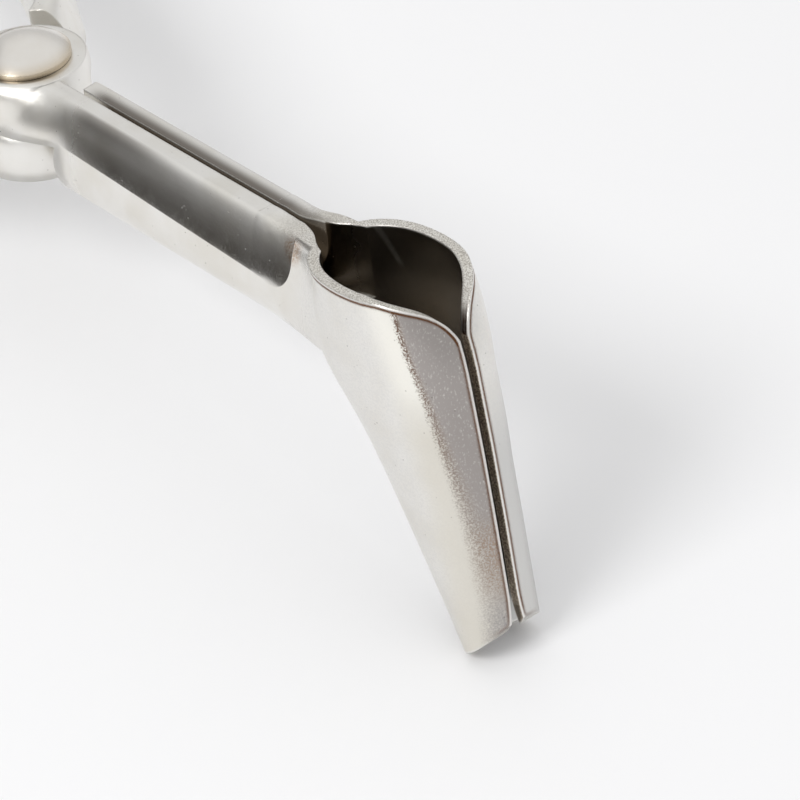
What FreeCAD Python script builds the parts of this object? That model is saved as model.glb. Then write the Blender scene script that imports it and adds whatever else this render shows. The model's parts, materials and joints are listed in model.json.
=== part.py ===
import FreeCAD, Part
import os
from math import atan, cos, degrees, exp, pi, sin, sqrt

# A bivalve speculum: two levers on one pivot, each with a thin curved valve in
# front and a long handle behind. Squeezing the handles spreads the two valves.
# All sizes are in millimetres.
#
# The levers are drawn with the pivot axis as the vertical through the origin, the
# valves towards +X, the near lever at -Y and the far lever at +Y. At the end the
# whole instrument is tipped back, so that the valve tips and the handle ends stand
# on the plane at height 0.

# The two valves. Seen from above, their mouth is an eye-shaped opening.
arm_reach = 40.9        # from the pivot axis to the back of the mouth
mouth_length = 14.6     # outside, back to front
mouth_width = 10.9      # outside, across both valves
blade_length = 33.0     # from the rim down to the tips
tip_depth = 4.3         # outside, back to front, at the tips
tip_width = 7.0         # outside, across both valves, at the tips
front_lean = 4.8        # how far the front edge runs forward on its way down
shoulder_depth = 8.4    # how far below the rim the back edge leaves the arm
sheet = 0.9             # thickness of the valve's wall
rim_rise = 0.7          # how far the rim stands above the arms at the mouth
rim_slope = 0.05        # the rim climbs a little towards the front
notch_depth = 4.6       # the rims dip in front, where the two valves meet
notch_width = 7.4       # width of that dip at the level of the rim
tip_round = 6.4         # radius of the front corner of each tip
tip_relief = 2.2        # how far the inner corner of each tip is rounded away
tip_relief_height = 6.0
squareness = 2.25       # 2 would make each cross-section an ellipse

# The bars: one forged piece runs from the valve through the joint to the handle.
arm_thickness = 3.3     # outside of an arm to the middle plane
arm_top = 4.5           # top of the arms above the middle of the joint
arm_bottom = 4.6        # underside of the arms below the middle of the joint
top_flat = 0.34         # share of the arm's thickness that is flat on top
arm_gap = 0.25          # inner face of each arm to the middle plane
valve_gap = 0.40        # edge of each valve to the middle plane
throat_length = 6.0     # where the arms start to part, behind the mouth
throat_width = 1.8      # how far each has parted where the mouth begins
arm_flare = 1.4         # how much each arm thickens where it runs into its valve
flare_back = 7.0        # this far behind the back of the mouth
flare_front = 5.0       # and this far in front of it
neck_length = 8.8       # where the arm starts to widen into the joint
handle_length = 96.0    # from the pivot axis to the end of a handle
handle_thickness = 4.0  # measured square to the handle
handle_start = 3.5      # centre line of the handle beside the pivot
handle_spread = 24.5    # how far the handles bow outwards behind the joint
flare_length = 30.0     # how quickly they do so
handle_drop = 1.5       # the handle ends hang a little below the joint

# The lap joint, with one lug over the other on the pivot screw.
lug_radius = 5.3
lug_rise = 0.1          # each lug stands this far proud of its arm
recess_radius = 8.0
lap_gap = 0.05          # between the two lugs
pivot_radius = 2.4
pivot_fit = 0.04        # running clearance round the pivot
head_radius = 4.05
head_height = 2.1
head_rim_height = 0.5
rivet_radius = 3.3
rivet_height = 0.9
head_gap = 0.03

# The two leaf springs, which hold the handles apart.
spring_thickness = 0.8
spring_width = 5.0
spring_seat = 72.0      # screw to pivot axis, along the instrument
spring_tail = 4.5       # length of spring behind its screw
spring_free_end = 14.0  # free end to pivot axis
spring_bow = 2.2        # sideways bow of each leaf
spring_roll = 0.9       # radius of the rolled free end
roll_gap = 0.12         # each rolled end stands this far from the middle plane
spring_level = -0.8
seat_gap = 0.35         # between a spring and the handle behind it
screw_radius = 1.0
screw_head_radius = 2.1
screw_head_height = 1.0
screw_depth = 2.6       # how far the screw goes into the handle
screw_fit = 0.03
spring_hole_clearance = 0.35
slot_width = 0.6
slot_depth = 0.45

rim_height = arm_top + rim_rise
tip_height = rim_height - blade_length
mouth_front = arm_reach + mouth_length
lug_top = arm_top + lug_rise
lug_underside = -arm_bottom - lug_rise
spare = 3.0             # how far a body runs past the place where it is cut off
half_span = 1.2 * handle_length     # wider than either side of the instrument


def vec(x, y, z):
    return FreeCAD.Vector(x, y, z)


def smooth(share):
    """Runs from 0 to 1 with level ends."""
    share = min(1.0, max(0.0, share))
    return share * share * (3 - 2 * share)


def between(first, last, share):
    return first + (last - first) * share


def box(x0, x1, y0, y1, z0, z1):
    return Part.makeBox(x1 - x0, y1 - y0, z1 - z0, vec(x0, y0, z0))


def post(radius, z0, z1):
    """A round bar on the pivot axis."""
    return Part.makeCylinder(radius, z1 - z0, vec(0, 0, z0))


def spline(points, closed=False):
    """A curve through the points, with its knots spaced evenly, so that sections loft cleanly."""
    spans = len(points) if closed else len(points) - 1
    knots = [step / spans for step in range(spans + 1)]
    curve = Part.BSplineCurve()
    curve.interpolate(Points=points, PeriodicFlag=closed, Parameters=knots)
    return curve.toShape()


def prism(edges, direction):
    return Part.Face(Part.Wire(edges)).extrude(direction)


# The valves

def valve_size(share):
    """Front, back and half width of the two valves, share 0 at the rim and 1 at the tips."""
    share = max(0.0, share)
    front = mouth_front + front_lean * share ** 0.55
    leave = shoulder_depth / blade_length
    run = max(0.0, share - leave) / (1 - leave)
    back_end = mouth_front + front_lean - tip_depth
    back = between(arm_reach, back_end, run ** 0.85)
    half = between(mouth_width / 2, tip_width / 2, share ** 1.15) + 0.25 * sin(pi * min(1.0, share * 2))
    return front, back, half


def valve_section(height, share, inset):
    """One level cross-section of the closed pair of valves, a rounded oval."""
    front, back, half = valve_size(share)
    front = front - inset
    back = back + inset * 1.2
    half = half - inset
    count = 16
    points = []
    for step in range(count):
        angle = 2 * pi * step / count
        along = abs(cos(angle)) ** (2 / squareness) * (1 if cos(angle) > 0 else -1)
        across = abs(sin(angle)) ** (2 / squareness) * (1 if sin(angle) > 0 else -1)
        x = (front + back) / 2 + (front - back) / 2 * along
        points.append(vec(x, half * across, height))
    return Part.Wire(spline(points, closed=True))


def valve_body(inset, levels, straight):
    """The tapering horn that both valves are cut from, or the hollow inside it."""
    sections = [valve_section(rim_height + spare, 0, inset)]
    for step in range(levels + 1):
        share = step / levels
        sections.append(valve_section(between(rim_height, tip_height, share), share, inset))
    sections.append(valve_section(tip_height - spare, 1 + spare / blade_length, inset))
    return Part.makeLoft(sections, True, straight)


def above_rim():
    """What lies above the rim, which climbs a little towards the front."""
    x0 = arm_reach - flare_back
    x1 = mouth_front + 10
    z0 = rim_height - rim_slope * (mouth_length / 2 + flare_back)
    z1 = z0 + rim_slope * (x1 - x0)
    wide = mouth_width
    corners = [vec(x0, -wide, z0), vec(x1, -wide, z1), vec(x1, -wide, z1 + 20), vec(x0, -wide, z0 + 20)]
    return Part.Face(Part.makePolygon(corners + corners[:1])).extrude(vec(0, wide * 2, 0))


def front_notch():
    """The dip in the rims above the place where the two valves meet in front."""
    low = rim_height - notch_depth
    wide = notch_width / 2
    x0 = mouth_front - mouth_length * 0.4
    side = [(0.04, 0.0), (0.10, 0.26), (0.29, 0.58), (0.60, 0.83), (0.98, 0.97), (1.5, 1.13)]
    right = [vec(x0, wide * y, low + notch_depth * z) for y, z in side]
    left = [vec(x0, -point.y, point.z) for point in right]
    top = rim_height + 6
    edges = [
        spline(right),
        Part.makeLine(right[-1], vec(x0, right[-1].y, top)),
        Part.makeLine(vec(x0, right[-1].y, top), vec(x0, left[-1].y, top)),
        Part.makeLine(vec(x0, left[-1].y, top), left[-1]),
        spline(left[::-1]),
        Part.makeLine(left[0], right[0]),
    ]
    return prism(edges, vec(30, 0, 0))


def throat():
    """The opening that widens between the two arms into the back of the mouth."""
    x0 = arm_reach - throat_length
    x1 = arm_reach + 0.5
    x2 = arm_reach + 3
    shares = [(0, 0), (0.45, 0.12), (0.8, 0.5), (1, 1)]
    side = [(between(x0, x1, x), between(arm_gap - 0.05, throat_width, y)) for x, y in shares]
    side.append((x2, throat_width * 1.5))
    right = [vec(x, y, arm_bottom * -0.4) for x, y in side]
    left = [vec(point.x, -point.y, point.z) for point in right]
    edges = [
        spline(right),
        Part.makeLine(right[-1], left[-1]),
        spline(left[::-1]),
        Part.makeLine(left[0], right[0]),
    ]
    return prism(edges, vec(0, 0, arm_top * 3))


def below_tip():
    """What is cut away to round the tips when they are seen from the side."""
    front = mouth_front + front_lean
    centre_x = front - tip_round + 0.4
    centre_z = tip_height + tip_round
    diagonal = tip_round / sqrt(2)
    start = vec(centre_x + tip_round, -20, centre_z)
    middle = vec(centre_x + diagonal, -20, centre_z - diagonal)
    end = vec(centre_x, -20, tip_height)
    back = vec(arm_reach, -20, tip_height)
    floor_back = vec(arm_reach, -20, tip_height - 10)
    floor_front = vec(front + 10, -20, tip_height - 10)
    rise = vec(front + 10, -20, centre_z)
    edges = [Part.Arc(start, middle, end).toShape()]
    corners = [end, back, floor_back, floor_front, rise, start]
    for first, second in zip(corners, corners[1:]):
        edges.append(Part.makeLine(first, second))
    return prism(edges, vec(0, 40, 0))


def between_tips():
    """The gap that opens between the two rounded tips."""
    x0 = arm_reach
    high = tip_height + tip_relief_height
    shares = [(0, 1), (0.1, 0.55), (0.4, 0.2), (1, 0)]
    right = [vec(x0, valve_gap + tip_relief * y, between(tip_height, high, z)) for y, z in shares]
    left = [vec(x0, -point.y, point.z) for point in right]
    edges = [
        spline(right),
        Part.makeLine(right[-1], vec(x0, right[-1].y, tip_height - spare)),
        Part.makeLine(vec(x0, right[-1].y, tip_height - spare), vec(x0, left[-1].y, tip_height - spare)),
        Part.makeLine(vec(x0, left[-1].y, tip_height - spare), left[-1]),
        spline(left[::-1]),
        Part.makeLine(left[0], right[0]),
    ]
    return prism(edges, vec(half_span, 0, 0))


# The forged bar that carries a valve, a lug and a handle

def handle_centre(x):
    """Distance of the handle's centre line from the middle plane, for x below 0."""
    return handle_start + handle_spread * (1 - exp(x / flare_length))


def handle_half(x):
    """Half the handle's thickness, measured straight across the instrument."""
    slope = handle_spread / flare_length * exp(x / flare_length)
    return handle_thickness / 2 * sqrt(1 + slope * slope)


def inner_face(x):
    """Distance of the bar's inner face from the middle plane."""
    return between(arm_gap, handle_centre(x) - handle_half(x), smooth(-x / recess_radius))


def outer_face(x):
    """Distance of the bar's outermost line from the middle plane."""
    if x <= 0:
        return handle_centre(x) + handle_half(x)
    hub = handle_centre(0) + handle_half(0)
    flare = smooth((x - arm_reach + flare_back) / (flare_back + flare_front)) * arm_flare
    return between(hub, arm_thickness, smooth(x / neck_length)) + flare


# The rounded outer side of the bar, from its top to its underside, as shares of its thickness
# and of its height. It slopes outwards and is thickest below the middle.
bar_side = [(0, 0), (0.42, 0.06), (0.66, 0.24), (0.87, 0.46), (1, 0.70), (0.72, 0.93), (0, 1)]


def bar_section(x):
    """A section across the bar: flat inside, flat strips above and below, round outside."""
    drop = handle_drop * min(0.0, x / handle_length) ** 2
    top = arm_top - drop + rim_rise * smooth((x - arm_reach + 4) / 4)
    bottom = -arm_bottom - drop
    inside = inner_face(x)
    outside = outer_face(x)
    strip = min(arm_thickness * top_flat, (outside - inside) * 0.5)
    curve = []
    for reach, depth in bar_side:
        y = inside + strip + (outside - inside - strip) * reach
        curve.append(vec(x, -y, between(top, bottom, depth)))
    past = inside - spare * (1 - smooth(-x / recess_radius))
    upper = vec(x, -past, top)
    lower = vec(x, -past, bottom)
    edges = [
        Part.makeLine(upper, curve[0]),
        spline(curve),
        Part.makeLine(curve[-1], lower),
        Part.makeLine(lower, upper),
    ]
    return Part.Wire(edges)


def steps(first, last, count):
    return [between(first, last, step / count) for step in range(count + 1)]


def bar():
    """The whole bar of the near lever, from inside the mouth to the end of the handle."""
    flare_start = arm_reach - flare_back
    stretches = [
        steps(arm_reach + flare_front, flare_start, 6),
        [flare_start, neck_length],
        steps(neck_length, -recess_radius, 6),
    ]
    pieces = [Part.makeLoft([bar_section(x) for x in places], True, False) for places in stretches]
    handle = [bar_section(x) for x in steps(-recess_radius, -handle_length, 14)]
    pieces.append(Part.makeLoft(handle, True, True))
    return pieces[0].fuse(pieces[1:])


def beyond_handle():
    """What is cut away to round the end of the handle when it is seen from the side."""
    half = (arm_top + arm_bottom) / 2
    middle = (arm_top - arm_bottom) / 2 - handle_drop
    centre = -handle_length + half
    block = box(-handle_length - spare, centre, -half_span, 0, middle - half * 2, middle + half * 2)
    keep = Part.makeCylinder(half, half_span * 2, vec(centre, -half_span, middle), vec(0, 1, 0))
    return block.cut(keep)


def lever(upper):
    """The near lever. The far one is its mirror image with the lug on the other side of the lap."""
    arm_side = box(-half_span * 2, half_span * 2, -half_span, -arm_gap, -half_span, half_span)
    valve_side = box(-half_span * 2, half_span * 2, -half_span, -valve_gap, -half_span, half_span)
    piece = bar().common(arm_side).fuse(valve_body(0, 8, False).common(valve_side))
    hollow = valve_body(sheet, 12, True)
    cutters = [hollow, above_rim(), front_notch(), throat(), below_tip(), between_tips(), beyond_handle()]
    piece = piece.cut(cutters)
    if upper:
        clear = post(recess_radius, -arm_bottom - spare, lap_gap / 2)
        lug = post(lug_radius, lap_gap / 2, lug_top)
    else:
        clear = post(recess_radius, -lap_gap / 2, arm_top + spare)
        lug = post(lug_radius, lug_underside, -lap_gap / 2)
    bore = post(pivot_radius + pivot_fit, -20, 20)
    piece = piece.cut(clear).fuse(lug).cut([bore, screw_hole()])
    return piece.removeSplitter()


def far_side(shape):
    return shape.mirror(vec(0, 0, 0), vec(0, 1, 0))


# The pivot screw

def cap(radius, height, z):
    """A shallow dome of this radius and height, standing on the level z."""
    ball = (radius * radius + height * height) / (2 * height)
    sphere = Part.makeSphere(ball, vec(0, 0, z + height - ball))
    return sphere.common(post(radius, z, z + height + 1))


def pivot_screw():
    """A domed head over the upper lug, a plain shank and a riveted lower end."""
    seat = lug_top + head_gap
    under = lug_underside - head_gap
    rim = post(head_radius, seat, seat + head_rim_height)
    dome = cap(head_radius, head_height - head_rim_height, seat + head_rim_height)
    rivet = Part.makeCone(rivet_radius - rivet_height, rivet_radius, rivet_height, vec(0, 0, under - rivet_height))
    return post(pivot_radius, under, seat).fuse([rim, dome, rivet]).removeSplitter()


# The leaf springs and their screws

def spring_line(x):
    """Distance of the spring's middle surface from the middle plane."""
    lift = seat_gap + spring_thickness / 2
    seat_end = spring_tail - spring_seat
    run = (x - seat_end) / (-spring_free_end - seat_end)
    if run < 0:
        return inner_face(x) - lift
    seat_y = inner_face(seat_end) - lift
    end_y = roll_gap + spring_roll
    return between(seat_y, end_y, run ** 1.18) + spring_bow * sin(pi * run ** 1.1) * run


def leaf_spring():
    """A long thin leaf from the screw on the handle to a rolled end near the joint."""
    count = 14
    first = -spring_seat - spring_tail
    last = -spring_free_end
    outer = []
    inner = []
    for x in steps(first, last, count):
        slope = (spring_line(x + 0.1) - spring_line(x - 0.1)) / 0.2
        turn = atan(slope)
        half = spring_thickness / 2
        outer.append(vec(x - half * sin(turn), -(spring_line(x) + half * cos(turn)), 0))
        inner.append(vec(x + half * sin(turn), -(spring_line(x) - half * cos(turn)), 0))
    edges = [
        spline(outer),
        Part.makeLine(outer[-1], inner[-1]),
        spline(inner[::-1]),
        Part.makeLine(inner[0], outer[0]),
    ]
    low = spring_level - spring_width / 2
    leaf = prism(edges, vec(0, 0, spring_width))
    leaf.translate(vec(0, 0, low))
    roll = Part.makeCylinder(spring_roll, spring_width, vec(last, -spring_line(last), low))
    hole = across(screw_radius + spring_hole_clearance, 0, inner_face(-spring_seat) + 1)
    return leaf.fuse(roll).cut(hole).removeSplitter()


def across(radius, y0, y1):
    """A round bar on the axis of the spring's screw, between two distances from the middle plane."""
    return Part.makeCylinder(radius, y1 - y0, vec(-spring_seat, -y0, spring_level), vec(0, -1, 0))


def screw_hole():
    face = inner_face(-spring_seat)
    return across(screw_radius + screw_fit, face - 2, face + screw_depth + 0.2)


def spring_screw():
    """A small screw with a bevelled, slotted head, which holds a leaf spring on its handle."""
    face = inner_face(-spring_seat)
    under_head = face - seat_gap * 2 - spring_thickness
    shank = across(screw_radius, under_head - 0.1, face + screw_depth)
    head = across(screw_head_radius, under_head - screw_head_height, under_head)
    head = head.makeChamfer(screw_head_height * 0.4, [head_rim(head, under_head - screw_head_height)])
    groove = box(
        -spring_seat - screw_head_radius,
        -spring_seat + screw_head_radius,
        -(under_head - screw_head_height + slot_depth),
        -(under_head - screw_head_height) + 1,
        spring_level - slot_width / 2,
        spring_level + slot_width / 2,
    )
    return shank.fuse(head).cut(groove).removeSplitter()


def head_rim(head, distance):
    """The round edge of the head at this distance from the middle plane."""
    rims = [edge for edge in head.Edges if len(edge.Vertexes) == 1]
    return min(rims, key=lambda edge: abs(edge.CenterOfMass.y + distance))


# Standing the instrument on its valve tips and handle ends

def stand(shapes):
    """Tips the instrument back, puts it on the plane at height 0 and centres it."""
    handle_foot = arm_bottom + handle_drop
    fall = -tip_height - handle_foot
    span = mouth_front + front_lean - tip_depth / 2 + handle_length - arm_bottom
    tilt = degrees(atan(fall / span))
    for shape in shapes.values():
        shape.rotate(vec(0, 0, 0), vec(0, 1, 0), -tilt)
    whole = Part.makeCompound(list(shapes.values())).optimalBoundingBox(False, False)
    shift = vec(-(whole.XMin + whole.XMax) / 2, -(whole.YMin + whole.YMax) / 2, -whole.ZMin)
    for shape in shapes.values():
        shape.translate(shift)
    print("tilt", round(tilt, 4), "pivot axis passes", shift)
    return shapes


near_spring = leaf_spring()
near_screw = spring_screw()
nodes = {
    "near_lever": lever(True),
    "far_lever": far_side(lever(False)),
    "pivot_screw": pivot_screw(),
    "near_leaf_spring": near_spring,
    "far_leaf_spring": far_side(near_spring),
    "near_spring_screw": near_screw,
    "far_spring_screw": far_side(near_screw),
}
stand(nodes)

os.makedirs("parts", exist_ok=True)
for name, shape in nodes.items():
    print(name, "solids", len(shape.Solids), "valid", shape.isValid(), "volume", round(shape.Volume, 2))
    shape.exportStep("parts/" + name + ".step")
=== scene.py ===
# %% [markdown]
# # A bivalve speculum, seen close at its mouth
# The instrument is a small hand tool of polished steel. Two levers turn on one pivot screw. Each
# lever ends in a thin curved valve, and squeezing the handles spreads the two valves.
# The forms come packed from CAD, one node for each real piece. This script adds what CAD leaves
# out: the finish of the steel, the light, the table and the camera.

# %% Load the packed frame
import bpy
import json
import math
from mathutils import Matrix, Vector
from types import SimpleNamespace


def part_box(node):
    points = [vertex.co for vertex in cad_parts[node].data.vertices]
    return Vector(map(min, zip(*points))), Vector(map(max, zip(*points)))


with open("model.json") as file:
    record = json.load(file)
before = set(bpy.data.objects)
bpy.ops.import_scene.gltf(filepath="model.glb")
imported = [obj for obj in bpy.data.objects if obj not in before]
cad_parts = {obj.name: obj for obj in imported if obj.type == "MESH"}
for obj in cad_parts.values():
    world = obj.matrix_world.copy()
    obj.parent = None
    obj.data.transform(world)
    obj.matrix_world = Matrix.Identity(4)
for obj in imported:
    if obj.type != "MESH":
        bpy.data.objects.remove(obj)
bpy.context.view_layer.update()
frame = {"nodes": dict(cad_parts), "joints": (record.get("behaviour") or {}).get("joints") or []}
print("nodes", sorted(frame["nodes"]))

# %% [markdown]
# ## The instrument's own directions
# The instrument stands tipped on its valve tips and handle ends. Wear, polish and stains follow the
# instrument and not the table, so the finishes need its own directions: along it, across it and up
# its pivot. The packed joint already holds the pivot's place and axis, so they aren't typed again.

# %% Pivot place and axis
pivot = next(joint for joint in frame["joints"] if joint["name"] == "pivot")
pivot_place = Vector(pivot["pos_m"])
upward = Vector(pivot["axis"]).normalized()
sideways = Vector((0, 1, 0))
forward = sideways.cross(upward)
print("pivot at", [round(1000 * part, 2) for part in pivot_place], "mm, leaning", forward)

# %% [markdown]
# ## The camera
# The photograph was taken from close above the near side, through a long lens, which keeps the
# perspective flat. The camera is placed as a photographer would think of it: a point to aim at, the
# angle round the object, the height above the table and the distance.

# %% Place the camera
aim = Vector((0.06435, 0.0, 0.01774))
around = math.radians(49.08)
above = math.radians(41.84)
lean = math.radians(0.17)
distance = 0.35295
focal_length = 198.5
film_width = 36.0

backward = Vector((
    math.sin(around) * math.cos(above),
    -math.cos(around) * math.cos(above),
    math.sin(above),
))
level = Vector((math.cos(around), math.sin(around), 0))
rightward = (level + backward.cross(level) * math.sin(lean)).normalized()
turn = Matrix((rightward, backward.cross(rightward), backward)).transposed().to_4x4()

camera_data = bpy.data.cameras.new("camera")
camera_data.lens = focal_length
camera_data.sensor_width = film_width
camera_data.clip_start = 0.01
camera_data.clip_end = 20.0
camera = bpy.data.objects.new("camera", camera_data)
camera.matrix_world = Matrix.Translation(aim + backward * distance) @ turn
bpy.context.scene.collection.objects.link(camera)
bpy.context.scene.camera = camera
bpy.context.scene.view_settings.view_transform = "Standard"
print("camera at", [round(1000 * part) for part in camera.location], "mm")

# %% [markdown]
# ## Writing materials as sums
# A steel finish is a stack of small effects: where it is rough, where it is stained, how fine the
# grain is. Written as sums they read like the sentences that describe them. One small class wraps a
# node's output, so that 1 - mask adds its own Math node.

# %% A signal
class Signal:
    """One output in a node tree, which can be added, multiplied and so on."""

    def __init__(self, sheet, socket):
        self.sheet = sheet
        self.socket = socket

    def maths(self, operation, first, second=0.0):
        return self.sheet.add("ShaderNodeMath", {"operation": operation}, {0: first, 1: second})

    def __add__(self, other):
        return self.maths("ADD", self, other)

    def __sub__(self, other):
        return self.maths("SUBTRACT", self, other)

    def __rsub__(self, other):
        return self.maths("SUBTRACT", other, self)

    def __mul__(self, other):
        return self.maths("MULTIPLY", self, other)

    def __truediv__(self, other):
        return self.maths("DIVIDE", self, other)

    def __abs__(self):
        return self.maths("ABSOLUTE", self)

    __radd__ = __add__
    __rmul__ = __mul__

    def square_root(self):
        return self.maths("SQRT", self)

    def sine(self):
        return self.maths("SINE", self)

    def or_more(self, other):
        return self.maths("MAXIMUM", self, other)

    def rises(self, low, high):
        """0 below low, 1 above high, and smooth between them."""
        sockets = {"Value": self, "From Min": low, "From Max": high}
        return self.sheet.add("ShaderNodeMapRange", {"interpolation_type": "SMOOTHSTEP"}, sockets)

    def falls(self, low, high):
        """1 below low, 0 above high, and smooth between them."""
        return 1 - self.rises(low, high)


print("a signal knows", [name for name in vars(Signal) if not name.startswith("_")])

# %% [markdown]
# ## The sheet that the sums are written on
# Math nodes only know numbers, and a colour that passes through one turns grey. Colours and vectors
# therefore have methods of their own here. All of them go through one method, which takes a node's
# type, its settings and the values or links of its sockets.

# %% A sheet
class Sheet:
    """The node tree of one material or of the world."""

    def __init__(self, owner):
        owner.use_nodes = True
        self.tree = owner.node_tree
        self.tree.nodes.clear()

    def add(self, kind, settings, sockets, output=0):
        """Adds a node with its settings and then the values or links of its sockets."""
        node = self.tree.nodes.new(kind)
        for name, value in settings.items():
            setattr(node, name, value)
        for name, value in sockets.items():
            if isinstance(value, Signal):
                self.tree.links.new(value.socket, node.inputs[name])
            else:
                node.inputs[name].default_value = value
        return Signal(self, node.outputs[output]) if node.outputs else None

    def vector(self, operation, first, second=(0, 0, 0)):
        return self.add("ShaderNodeVectorMath", {"operation": operation}, {0: first, 1: second})

    def dot(self, vector, direction):
        sockets = {0: vector, 1: direction}
        return self.add("ShaderNodeVectorMath", {"operation": "DOT_PRODUCT"}, sockets, 1)

    def length(self, vector):
        return self.add("ShaderNodeVectorMath", {"operation": "LENGTH"}, {0: vector}, 1)

    def own_normal(self):
        """The surface's direction in the piece's own frame, so that it doesn't change in a pose."""
        return self.add("ShaderNodeTexCoord", {}, {}, 1)

    def own_place(self):
        """The surface's place in the piece's own frame, in metres."""
        return self.add("ShaderNodeTexCoord", {}, {}, 3)

    def blend(self, share, first, second):
        """One colour where share is 0 and the other where it is 1."""
        return self.add("ShaderNodeMix", {"data_type": "RGBA"}, {0: share, 6: first, 7: second}, 2)

    def noise(self, place, scale, detail=2.0, roughness=0.5):
        sockets = {"Vector": place, "Scale": scale, "Detail": detail, "Roughness": roughness}
        return self.add("ShaderNodeTexNoise", {}, sockets)

    def bevel(self, radius, samples):
        """The surface's direction as if each edge were rounded to the radius."""
        return self.add("ShaderNodeBevel", {"samples": samples}, {"Radius": radius})


print("a sheet knows", [name for name in vars(Sheet) if not name.startswith("_")])

# %% [markdown]
# ## The table
# The photograph shows a plain, almost white table with no edge in view. A flat sheet that is large
# beside the instrument does this, and the instrument's soft shadow lies on it. A slow drift in its
# white keeps it from looking like empty paper.

# %% Lay the table
table_reach = 3.0
table_pale = (0.90, 0.90, 0.91, 1)
table_paler = (0.93, 0.93, 0.935, 1)

corners = [(x * table_reach, y * table_reach, 0) for x, y in ((-1, -1), (1, -1), (1, 1), (-1, 1))]
table_mesh = bpy.data.meshes.new("table")
table_mesh.from_pydata(corners, [], [(0, 1, 2, 3)])
table = bpy.data.objects.new("table", table_mesh)
bpy.context.scene.collection.objects.link(table)

table_finish = bpy.data.materials.new("table_white")
sheet = Sheet(table_finish)
white = sheet.blend(sheet.noise(sheet.own_place(), 9.0, 3.0), table_pale, table_paler)
surface = sheet.add("ShaderNodeBsdfPrincipled", {}, {"Base Color": white, "Roughness": 0.6})
sheet.add("ShaderNodeOutputMaterial", {}, {"Surface": surface})
table_mesh.materials.append(table_finish)
print("table", 2 * table_reach, "m wide")

# %% [markdown]
# ## The studio light
# Polished steel shows its surroundings, so the room matters as much as the lamp. The photograph
# has three things in it: a bright room, a dark part of it low on the near side, which the near arm
# mirrors above the pale table, and one large soft lamp at the near side that casts the shadow
# towards the far side. The room comes first. It is a plain gradient, because nothing in it has a
# shape that the steel shows.

# %% The room
dark_side = Vector((-0.67, -0.74, 0))
room_low = (0.63, 0.63, 0.635, 1)
room_high = (0.86, 0.86, 0.86, 1)
room_dark = (0.045, 0.041, 0.037, 1)

world = bpy.data.worlds.new("room")
bpy.context.scene.world = world
sheet = Sheet(world)
direction = sheet.add("ShaderNodeTexCoord", {}, {})
height = sheet.dot(direction, (0, 0, 1))
dark = sheet.dot(direction, dark_side).rises(0.40, 0.85) * height.falls(0.02, 0.95)
room = sheet.blend(height.rises(-0.05, 0.75), room_low, room_high)
room = sheet.blend(dark, room, room_dark)
light = sheet.add("ShaderNodeBackground", {}, {"Color": room, "Strength": 1.0})
sheet.add("ShaderNodeOutputWorld", {}, {"Surface": light})
print("the room is dark towards", [round(part, 2) for part in dark_side])

# %% [markdown]
# ## The soft lamp
# The gradient lights from everywhere and casts almost no shadow. The photograph's shadow is soft and
# falls to one side, so one square soft box hangs over the near side. Its size sets how soft the
# shadow's border is, and its distance how evenly the instrument is lit.

# %% The lamp
lamp_place = Vector((0.040, -0.60, 0.62))
lamp_target = Vector((0.050, 0, 0.015))
lamp_size = 0.32
lamp_watts = 2.8

lamp_data = bpy.data.lights.new("key_lamp", "AREA")
lamp_data.size = lamp_size
lamp_data.energy = lamp_watts
lamp = bpy.data.objects.new("key_lamp", lamp_data)
lamp.location = lamp_place
lamp.rotation_euler = (lamp_target - lamp_place).to_track_quat("-Z", "Y").to_euler()
bpy.context.scene.collection.objects.link(lamp)
print("one lamp,", round((lamp_target - lamp_place).length, 2), "m away")

# %% [markdown]
# ## Forged and polished steel
# A lever starts as one forging. Its valve was pressed thin and left satin, its arm was polished,
# and the rims were ground flat, which leaves them frosted. So one steel is used with three
# finishes, and the place on the instrument decides which one shows. The alternative, one material
# for each zone, would need its own faces in CAD and would leave a hard line between them.

# %% Where a point lies on the instrument
per_metre = 1000


def instrument_place(sheet):
    """Millimetres along, across and up the instrument, measured from the pivot."""
    offset = sheet.vector("SUBTRACT", sheet.own_place(), pivot_place)
    spot = SimpleNamespace()
    spot.along = sheet.dot(offset, forward * per_metre)
    spot.across = sheet.dot(offset, sideways * per_metre)
    spot.up = sheet.dot(offset, upward * per_metre)
    spot.place = sheet.add("ShaderNodeCombineXYZ", {}, {0: spot.along, 1: spot.across, 2: spot.up})
    return spot


print("the finishes count in millimetres,", per_metre, "to a metre")

# %% [markdown]
# ## The zones of a lever
# The mouth begins where the arm widens into the valve. In front of it lie the satin valve, the
# ground rim and the narrow faces that meet at the gap. Each zone is a signal that is 1 inside it and
# 0 outside, with a soft border, since a polishing wheel leaves no sharp one.

# %% Name the zones
arm_back = 9.0
arm_front = 40.0
throat_back = 34.5
throat_depth = 1.5
mouth_back = 40.9
tip_low = -27.5


def lever_zones(sheet):
    """The place on a lever and the zones there."""
    zones = instrument_place(sheet)
    zones.valve = zones.along.rises(mouth_back - 2.5, mouth_back + 2.0)
    zones.level_face = abs(sheet.dot(sheet.own_normal(), upward))
    zones.rim_face = zones.level_face.rises(0.45, 0.75) * zones.along.rises(throat_back, mouth_back)
    upright_face = abs(sheet.dot(sheet.own_normal(), sideways)).rises(0.97, 0.99)
    zones.gap_face = upright_face * abs(zones.across).falls(0.7, 0.9) * zones.valve
    zones.ground = zones.gap_face.or_more(zones.rim_face)
    return zones


print("the arm runs from", arm_back, "to", arm_front, "mm and the mouth begins at", mouth_back, "mm")

# %% [markdown]
# ## The painted shade inside
# The valves' inside, the throat and the gap between the arms are coloured dark as painted shade. A face is
# inside where it looks towards the middle of the horn that the two valves form, or towards the gap. Asking
# for its direction keeps the painted shade at every pose, while a cast shadow alone would vanish when the
# valves part.

# %% Find the inside
horn_middle = 49.8
horn_lean = 0.303


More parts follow.
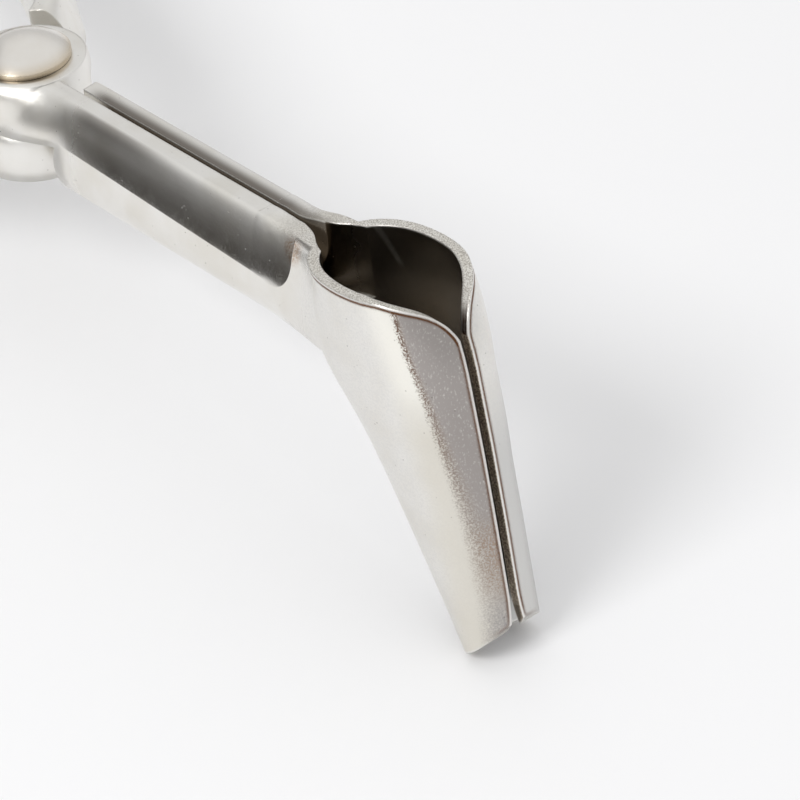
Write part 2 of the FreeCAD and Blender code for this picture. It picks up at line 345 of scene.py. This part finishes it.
def painted_shade_inside(sheet, zones):
    """1 on the faces that get painted shade: inside the horn, in the throat and in the gap between the arms.
    """
    normal = sheet.own_normal()
    towards_side = zones.across * sheet.dot(normal, sideways)
    from_middle = zones.along - horn_middle + zones.up * horn_lean
    outward = from_middle * sheet.dot(normal, forward) + towards_side
    hollow = outward.falls(-1.3, -0.7) * zones.valve
    throat = towards_side.falls(-0.50, -0.43) * zones.along.rises(throat_back, throat_back + throat_depth)
    on_arm = zones.along.rises(arm_back, arm_back + 3.0) * zones.along.falls(arm_front - 1.5, arm_front)
    arm_gap = towards_side.falls(-0.20, -0.12) * on_arm
    return hollow.or_more(throat).or_more(arm_gap) * zones.level_face.falls(0.20, 0.35)


print("the horn's middle is", horn_middle, "mm in front of the pivot")

# %% [markdown]
# ## The flat along each arm
# A flat with a rounded front end was ground along the arm's side. It is a few tenths of a
# millimetre deep, yet it shows strongly, because it mirrors the dark part of the room above the
# table and ends in a sharp line. A bump would only show at the flat's border. So the whole zone tips
# the surface's direction up, a little more towards the top, as the wheel did.

# %% Tip the flat
flat_front = 39.5
flat_corner = 3.4
flat_bottom = 0.7
flat_fall = 0.038
flat_tip = 0.40
flat_roll = 0.07


def ground_flat(zones):
    """How far the flat tips up from the arm's round side, fading in behind the joint."""
    over_edge = zones.up - flat_bottom + zones.along * flat_fall
    past_end = (zones.along - (flat_front - flat_corner)).or_more(0.0)
    past_edge = (flat_corner - over_edge).or_more(0.0)
    reach = (past_end * past_end + past_edge * past_edge).square_root()
    flat = reach.falls(flat_corner - 0.12, flat_corner)
    return flat * zones.along.rises(1.0, 11.0) * (over_edge * flat_roll + flat_tip)


print("the flat ends", flat_front, "mm in front of the pivot")

# %% [markdown]
# ## The painted dark reflection on the near valve's front
# Beside its front edge the near valve gets a dark grey that is a painted reflection of the instrument's
# shadow on the table, and a grainy brown border parts that zone from the polished side. The border bows with
# the valve, and it widens and fades towards the tip. Adding grit to the distance from the border breaks it
# into grains, which a clean mask can't do.

# %% Place the painted dark reflection
border_at = 54.7
border_lean = 0.27
border_bow = 0.0042
border_grain = 1.1
border_top = 5.0
border_width = 0.70
border_widening = 0.040


def dark_reflection_zones(zones, grit):
    """The zone of painted dark reflection, and the band behind its border that gets a painted highlight."""
    bowed = zones.up * border_lean + zones.up * zones.up * border_bow
    past_border = zones.along + bowed - border_at + (grit - 0.5) * border_grain
    width = border_width - (zones.up - border_top) * border_widening
    near_side = zones.across.falls(-0.5, 0.0)
    return (past_border / width).rises(0.0, 1.0) * near_side, past_border.rises(-3.2, -0.4) * near_side


print("the border is", border_width, "mm wide at the rim")

# %% [markdown]
# ## The painted highlight along the edges
# Each edge gets a painted highlight as a bright line, and a brown line of old polish lies beside it. Rounding
# the edges in the shader tells how near an edge is: the rounded direction turns away from the true one.

# %% Find the edges
edge_reach = 0.0008
edge_samples = 16


def edge_highlight_lines(sheet):
    """The painted highlight on an edge, and the brown line beside it."""
    true_normal = sheet.add("ShaderNodeNewGeometry", {}, {}, 1)
    turned = 1 - sheet.dot(sheet.bevel(edge_reach, edge_samples), true_normal)
    return turned.rises(0.06, 0.11), turned.rises(0.002, 0.006) * turned.falls(0.06, 0.10)


print("the edge lines reach", round(per_metre * edge_reach, 2), "mm")

# %% [markdown]
# ## Grain and wear
# Real steel is never even. These signals are its small marks: grit for every grain, frost on ground
# faces, satin on the valves, slow patches and smears from handling, fine hairs and a few specks.
# They are noise in the instrument's own millimetres, so they keep their size at any distance.

# %% Make the marks
grit_scale = 7.0
frost_scale = 9.0
satin_scale = 5.0
patch_scale = 0.22


def wear_marks(sheet, place):
    """The small marks, as signals from 0 to 1."""
    marks = SimpleNamespace()
    marks.grit = sheet.noise(place, grit_scale, 3.0, 0.7)
    marks.frost = sheet.noise(place, frost_scale, 2.0, 0.7).rises(0.42, 0.62)
    marks.satin = sheet.noise(place, satin_scale, 3.0, 0.75).rises(0.42, 0.62)
    marks.patches = sheet.noise(place, patch_scale, 3.0, 0.55).rises(0.35, 0.72)
    marks.smear = sheet.noise(place, 0.5, 4.0, 0.6)
    marks.wave = sheet.noise(place, 0.32, 1.0, 0.4)
    stretched = sheet.vector("MULTIPLY", place, (9.0, 6.0, 3.5))
    marks.hairs = sheet.noise(stretched, 1.0, 3.0, 0.7).rises(0.57, 0.68)
    cells = sheet.add("ShaderNodeTexVoronoi", {}, {"Vector": place, "Scale": 1.4, "Randomness": 1.0})
    marks.specks = cells.falls(0.05, 0.12) * sheet.noise(place, 0.6).rises(0.48, 0.6)
    return marks


print("about", grit_scale, "grains of grit to the millimetre")

# %% [markdown]
# ## The colours of the steel
# Bare steel is a warm white. Satin looks greyer, old polish is brown and heat leaves rust and blue. The other
# colours are painted light: shade on the far valve's front and inside, a dark reflection on the near valve's
# front, and highlights.

# %% Name the colours
steel_white = (0.84, 0.825, 0.79, 1)
steel_warm = (0.70, 0.665, 0.585, 1)
# The next colour paints the highlight band and also the bright grains on the rims.
steel_bright_and_highlight = (0.93, 0.91, 0.84, 1)
steel_satin = (0.70, 0.69, 0.67, 1)
# The next colour is painted shade for the far valve's front.
steel_far_shade = (0.60, 0.595, 0.58, 1)
# The next colour is a painted dark reflection on the near valve's front.
steel_dark_reflection = (0.36, 0.33, 0.315, 1)
steel_brown = (0.13, 0.060, 0.030, 1)
steel_rust = (0.40, 0.24, 0.13, 1)
steel_blue = (0.24, 0.26, 0.30, 1)
# The next colour paints the shade and dark reflection on the arms and the contact shadow, and also the
# specks.
steel_dark_and_shade = (0.16, 0.14, 0.12, 1)
steel_grey = (0.40, 0.365, 0.315, 1)
steel_gap = (0.84, 0.75, 0.61, 1)
# The next colour is painted shade for the inside, the throat and the arm gap.
steel_painted_shade = (0.22, 0.185, 0.145, 1)
print("bare steel", steel_white[:3], "and scale", steel_painted_shade[:3])

# %% [markdown]
# ## The valves' colour
# The colours are laid over each other: first the bare steel with its slow patches, then the satin of the
# valves, then painted shade on the front of the far valve and the band of the near one. The near valve's band
# is a painted highlight near the rim and goes warm towards the tip.

# %% Colour the valves
def valve_colour(sheet, zones, marks):
    tip = zones.up.falls(tip_low, tip_low + 8.5) * marks.patches
    colour = sheet.blend(marks.patches * 0.45 + tip * 0.4, steel_white, steel_warm)
    satin = (marks.satin * 0.40 + 0.20) * zones.valve * zones.outside
    colour = sheet.blend(satin, colour, steel_satin)
    # Painted shade: the far valve's front is darkened.
    far_front_shade = zones.across.rises(0.2, 0.6) * zones.up.falls(-10.0, -1.0) * zones.valve * zones.outside
    colour = sheet.blend(far_front_shade * 0.9, colour, steel_far_shade)
    near_rim = zones.up.rises(-7.0, -1.0)
    # Painted highlight: near the rim the band turns bright; lower down it turns warm.
    band = zones.warm_band * zones.valve
    colour = sheet.blend(band * near_rim * 0.8, colour, steel_bright_and_highlight)
    return sheet.blend(band * (1 - near_rim) * 0.7, colour, steel_warm)


print("satin", steel_satin[:3])

# %% [markdown]
# ## The colour of the painted dark reflection
# The dark zone has a grey that is a painted reflection, with pale hairs in it. Low on it, close to the tip, a
# rust stain and below it a blue one show where the metal was hot. They are faint, and the grit decides which
# grains they colour, so that they look burnt in and not painted on.

# %% Colour the painted dark reflection
def front_colour(sheet, zones, marks, colour):
    low_front = zones.front * zones.up.falls(-16.5, -13.0)
    rust = low_front * zones.up.rises(-22.5, -19.5) * marks.grit.rises(0.40, 0.60)
    blue = low_front * zones.up.falls(-24.0, -20.5) * marks.grit.rises(0.30, 0.60)
    border = zones.front * (1 - zones.front) * 4 * (1 + zones.up * 0.04).or_more(0.15)
    # Painted reflection: the front zone turns dark grey.
    colour = sheet.blend(zones.front * 0.95, colour, steel_dark_reflection)
    colour = sheet.blend(rust * 0.55, colour, steel_rust)
    colour = sheet.blend(blue * 0.5, colour, steel_blue)
    colour = sheet.blend(zones.front * marks.hairs * 0.45, colour, steel_white)
    return sheet.blend(border * marks.grit.rises(0.35, 0.60) * 0.9, colour, steel_brown)


print("dull front", steel_dark_reflection[:3])

# %% [markdown]
# ## The arms' colour
# Four darker places lie on the arms: painted shade on the far arm's top beside the gap, a painted dark
# reflection on the near arm's shoulder in front of the joint, a painted contact shadow round the screw's
# head, and a spot that was heated beside the throat.

# %% Colour the arms
head_radius = 4.1
heat_spot = Vector((39.4, -2.6, 3.7))


def arm_colour(sheet, zones, marks, colour):
    along, across = zones.along, zones.across
    # Painted shade on the far arm's top beside the gap.
    far_top_shade = zones.level_face.rises(0.7, 0.9) * across.rises(0.0, 0.2) * across.falls(0.5, 1.7)
    far_top_shade = far_top_shade * along.rises(arm_back - 1.0, arm_back + 2.0) * along.falls(arm_front, arm_front + 6.0)
    colour = sheet.blend(far_top_shade * 0.95, colour, steel_dark_and_shade)

    # Painted dark reflection on the near arm's shoulder.
    shoulder_dark_reflection = along.rises(8.0, 12.0) * along.falls(15.0, 26.0) * zones.up.rises(2.6, 4.0)
    colour = sheet.blend(shoulder_dark_reflection * across.falls(-1.9, -1.5) * 0.65, colour, steel_dark_and_shade)

    # Painted contact shadow: a dark ring round the screw's head.
    from_head = abs((along * along + across * across).square_root() - head_radius)
    painted_contact_shadow = from_head.falls(0.15, 0.55) * zones.level_face.rises(0.7, 0.9) * across.falls(-1.5, 1.5)
    colour = sheet.blend(painted_contact_shadow * 0.8, colour, steel_dark_and_shade)

    heated = sheet.length(sheet.vector("SUBTRACT", zones.place, heat_spot)).falls(0.6, 1.7)
    return sheet.blend(heated * marks.grit.rises(0.35, 0.6) * zones.outside * 0.8, colour, steel_rust)


print("heated at", heat_spot)

# %% [markdown]
# ## The colour of edges, rims and the inside
# These come last, because the ground rims cut through every other finish and the painted highlight and shade
# lie over it. Each edge gets a painted highlight. The rims sparkle, as bright and grey grains lie side by
# side. The inside gets its painted shade, and a faint pale streak across the far valve's inside is a painted
# reflection.

# %% Colour the edges
reflection_streak_at = 45.4
reflection_streak_lean = 0.46


def edge_colour(sheet, zones, marks, colour):
    brown_line = zones.beside_edge * zones.valve * zones.outside * (1 - zones.root)
    colour = sheet.blend(brown_line * zones.up.rises(tip_low + 2.0, tip_low + 4.5), colour, steel_brown)
    # Painted highlight: a bright line on the valves' edges.
    colour = sheet.blend(zones.edge * zones.valve, colour, steel_white)
    colour = sheet.blend(marks.specks * 0.5, colour, steel_dark_and_shade)
    colour = sheet.blend(zones.rim_face * (1 - marks.frost) * 0.4, colour, steel_bright_and_highlight)
    colour = sheet.blend(zones.rim_face * marks.frost * 0.85, colour, steel_grey)
    colour = sheet.blend(zones.gap_face * 0.9, colour, steel_gap)
    colour = sheet.blend(zones.gap_face * marks.grit.rises(0.40, 0.58) * 0.75, colour, steel_brown)

    # Painted reflection: a pale streak across the far valve's inside.
    reflection_streak = abs(zones.along + zones.up * reflection_streak_lean - reflection_streak_at).falls(0.08, 0.36)
    reflection_streak = reflection_streak * zones.up.rises(1.0, 2.0) * zones.across.rises(2.4, 2.9) * 0.8
    # Painted shade: the inside turns dark, less so where the painted highlight and streak lie.
    scale = zones.inside * (1 - zones.edge.or_more(reflection_streak) * 0.7)
    return sheet.blend(scale * 0.95, colour, steel_painted_shade)


print("the streak starts", reflection_streak_at, "mm in front of the pivot")

# %% [markdown]
# ## The levers' relief and rounded form
# Each grain is a few thousandths of a millimetre high, because it is the mirror image that breaks
# up and not the form. Only the slow wave of hand polishing is higher. Every edge is worn round by a
# quarter of a millimetre. The joint's near side and the crease below the mouth were blended by hand,
# which a much wider rounding gives. The flat's tip is added to that direction before the relief.

# %% Shape the surface
worn_radius = 0.00028
blended_radius = 0.0028


def lever_relief(zones, marks):
    """The height of the marks, in millimetres."""
    grain = marks.grit * (0.0012 + zones.valve * 0.0034) + marks.frost * zones.ground * 0.006
    return grain + marks.wave * 0.02 + marks.hairs * 0.0012 + marks.specks * -0.006


def lever_form(sheet, zones):
    """The surface's direction with its edges worn and the arm's flat ground."""
    joint = zones.along.rises(-10.0, -7.0) * zones.along.falls(7.0, 11.0) * zones.across.falls(-1.2, -0.4)
    worn, blended = sheet.bevel(worn_radius, 6), sheet.bevel(blended_radius, 8)
    sockets = {0: zones.root.or_more(joint), 4: worn, 5: blended}
    rounded = sheet.add("ShaderNodeMix", {"data_type": "VECTOR"}, sockets, 1)
    tip = ground_flat(zones)
    tipped = sheet.add("ShaderNodeCombineXYZ", {}, {0: tip * upward.x, 1: 0.0, 2: tip * upward.z})
    return sheet.vector("NORMALIZE", sheet.vector("ADD", rounded, tipped))


print("edges worn by", round(per_metre * worn_radius, 2), "mm")

# %% [markdown]
# ## The bare metal
# All the pieces are bare steel, so they share one closing step. Its colour, roughness and relief
# vary, while the metal itself is the same all over.

# %% End a sheet as bare metal
millimetre = 0.001


def bare_metal(sheet, colour, roughness, relief, form=None):
    """Joins the signals to the shader. The relief is in millimetres."""
    sockets = {"Strength": 1.0, "Distance": millimetre, "Height": relief}
    if form:
        sockets["Normal"] = form
    bump = sheet.add("ShaderNodeBump", {}, sockets)
    surface = sheet.add("ShaderNodeBsdfPrincipled", {}, {
        "Base Color": colour,
        "Metallic": 1.0,
        "Roughness": roughness,
        "Normal": bump,
    })
    sheet.add("ShaderNodeOutputMaterial", {}, {"Surface": surface})


print("the relief is counted in steps of", millimetre, "m")

# %% [markdown]
# ## The levers' finish
# Both levers are the same steel, so they share one material, and the side on which a point lies tells the
# near one from the far one. This cell only puts the earlier steps in their order: where the point lies, which
# marks it carries, its colour with its painted shade, reflections and highlights, and how rough it is.

# %% The levers' steel
def lever_steel(name):
    finish = bpy.data.materials.new(name)
    sheet = Sheet(finish)
    zones = lever_zones(sheet)
    marks = wear_marks(sheet, zones.place)
    # This mask marks where painted shade darkens the inside.
    zones.inside = painted_shade_inside(sheet, zones)
    zones.outside = (1 - zones.ground) * (1 - zones.inside)
    # The first mask is a painted highlight on the edges.
    zones.edge, zones.beside_edge = edge_highlight_lines(sheet)
    zones.root = zones.along.rises(37.0, 39.5) * zones.along.falls(44.0, 46.5)
    zones.root = zones.root * zones.up.falls(3.6, 4.4) * (1 - zones.inside)
    # The front zone is the painted dark reflection; the band behind it gets a painted highlight near the rim.
    front, zones.warm_band = dark_reflection_zones(zones, marks.grit)
    zones.front = front * zones.valve * zones.outside

    colour = valve_colour(sheet, zones, marks)
    colour = front_colour(sheet, zones, marks, colour)
    colour = arm_colour(sheet, zones, marks, colour)
    colour = edge_colour(sheet, zones, marks, colour)
    worn = zones.valve * 0.14 + zones.ground * 0.20 + zones.front * 0.06 + zones.along.falls(6.0, 16.0) * 0.16
    roughness = 0.12 + worn + marks.smear * 0.08 + marks.specks * 0.3
    bare_metal(sheet, colour, roughness, lever_relief(zones, marks), lever_form(sheet, zones))
    return finish


lever_finish = lever_steel("forged_steel")
print("the levers' finish has", len(lever_finish.node_tree.nodes), "nodes")

# %% [markdown]
# ## The pivot screw
# The domed head was turned and then polished by hand, so it is smoother than the levers. Fingers and cloths
# have worn it, which leaves a few fine scratches in every direction. A warm band near its rim is a painted
# reflection. Height over the rim finds that band, because the head is round.

# %% The screw's steel
head_rim = 5.0
screw_white = (0.82, 0.80, 0.765, 1)
# The next colour is a painted reflection near the head's rim.
screw_rim_reflection = (0.60, 0.50, 0.36, 1)
screw_worn_radius = 0.00015


def screw_steel(name):
    finish = bpy.data.materials.new(name)
    sheet = Sheet(finish)
    spot = instrument_place(sheet)
    place = spot.place
    # Painted reflection: a warm band near the head's rim.
    painted_rim_reflection = spot.up.falls(head_rim - 0.2, head_rim + 0.9)
    cloudy = sheet.noise(place, 0.7, 3.0, 0.6)
    colour = sheet.blend(painted_rim_reflection * 0.8 + cloudy * 0.2, screw_white, screw_rim_reflection)
    stretched = sheet.vector("MULTIPLY", place, (12.0, 1.5, 3.0))
    scratches = sheet.noise(stretched, 1.0, 3.0, 0.6).rises(0.58, 0.75)
    relief = scratches * 0.0010 + sheet.noise(place, 6.0) * 0.0012 + sheet.noise(place, 0.6) * 0.012
    roughness = 0.16 + cloudy * 0.10 + painted_rim_reflection * 0.06
    bare_metal(sheet, colour, roughness, relief, sheet.bevel(screw_worn_radius, 6))
    return finish


pivot_finish = screw_steel("turned_steel")
print("the screw's finish has", len(pivot_finish.node_tree.nodes), "nodes")

# %% [markdown]
# ## The leaf springs
# The leaf springs are cut from rolled strip and hardened, so they show fine lines along their
# length and a slightly cooler, darker steel than the levers. Noise that is stretched along the
# instrument draws such lines without a picture.

# %% The springs' steel
strip_cool = (0.62, 0.62, 0.62, 1)
strip_warm = (0.70, 0.68, 0.65, 1)
strip_dark = (0.48, 0.47, 0.46, 1)


def spring_steel(name):
    finish = bpy.data.materials.new(name)
    sheet = Sheet(finish)
    place = instrument_place(sheet).place
    stretched = sheet.vector("MULTIPLY", place, (0.35, 4.0, 14.0))
    strokes = sheet.noise(stretched, 1.0, 4.0, 0.65)
    colour = sheet.blend(sheet.noise(place, 0.25, 3.0), strip_cool, strip_warm)
    colour = sheet.blend(strokes.rises(0.3, 0.8) * 0.35, colour, strip_dark)
    bare_metal(sheet, colour, 0.24 + strokes * 0.16, strokes * 0.006)
    return finish


spring_finish = spring_steel("rolled_strip")
print("the springs' finish has", len(spring_finish.node_tree.nodes), "nodes")

# %% [markdown]
# ## The springs' screws
# These small screws were turned too and never polished, which leaves rings round each screw's own
# axis. A sine of the distance from that axis gives the rings.

# %% The spring screws' steel
ring_rate = 55.0
ring_pale = (0.72, 0.70, 0.67, 1)
ring_dark = (0.55, 0.52, 0.48, 1)


def turned_rings(name, node):
    """Steel with rings round the middle of a node, on the instrument's crosswise axis."""
    low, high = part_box(node)
    middle = (Vector(low) + Vector(high)) / 2
    finish = bpy.data.materials.new(name)
    sheet = Sheet(finish)
    offset = sheet.vector("SUBTRACT", sheet.own_place(), middle)
    radius = sheet.length(sheet.vector("MULTIPLY", offset, (per_metre, 0, per_metre)))
    cloudy = sheet.noise(offset, 900.0, 3.0)
    colour = sheet.blend(cloudy, ring_pale, ring_dark)
    bare_metal(sheet, colour, 0.20 + cloudy * 0.15, (radius * ring_rate).sine() * 0.0006)
    return finish


near_screw_finish = turned_rings("turned_rings_near", "near_spring_screw")
far_screw_finish = turned_rings("turned_rings_far", "far_spring_screw")
print("spring screws finished in", near_screw_finish.name, "and", far_screw_finish.name)

# %% [markdown]
# ## Dress the nodes
# Every CAD node has the right shape, so it stays and only its finish changes. Smooth shading is
# already in the packed normals.

# %% Give each node its finish
finishes = {
    "near_lever": lever_finish,
    "far_lever": lever_finish,
    "pivot_screw": pivot_finish,
    "near_leaf_spring": spring_finish,
    "far_leaf_spring": spring_finish,
    "near_spring_screw": near_screw_finish,
    "far_spring_screw": far_screw_finish,
}
for node, finish in finishes.items():
    for slot in frame["nodes"][node].material_slots:
        slot.material = finish
print(len(finishes), "nodes dressed")

# %% [markdown]
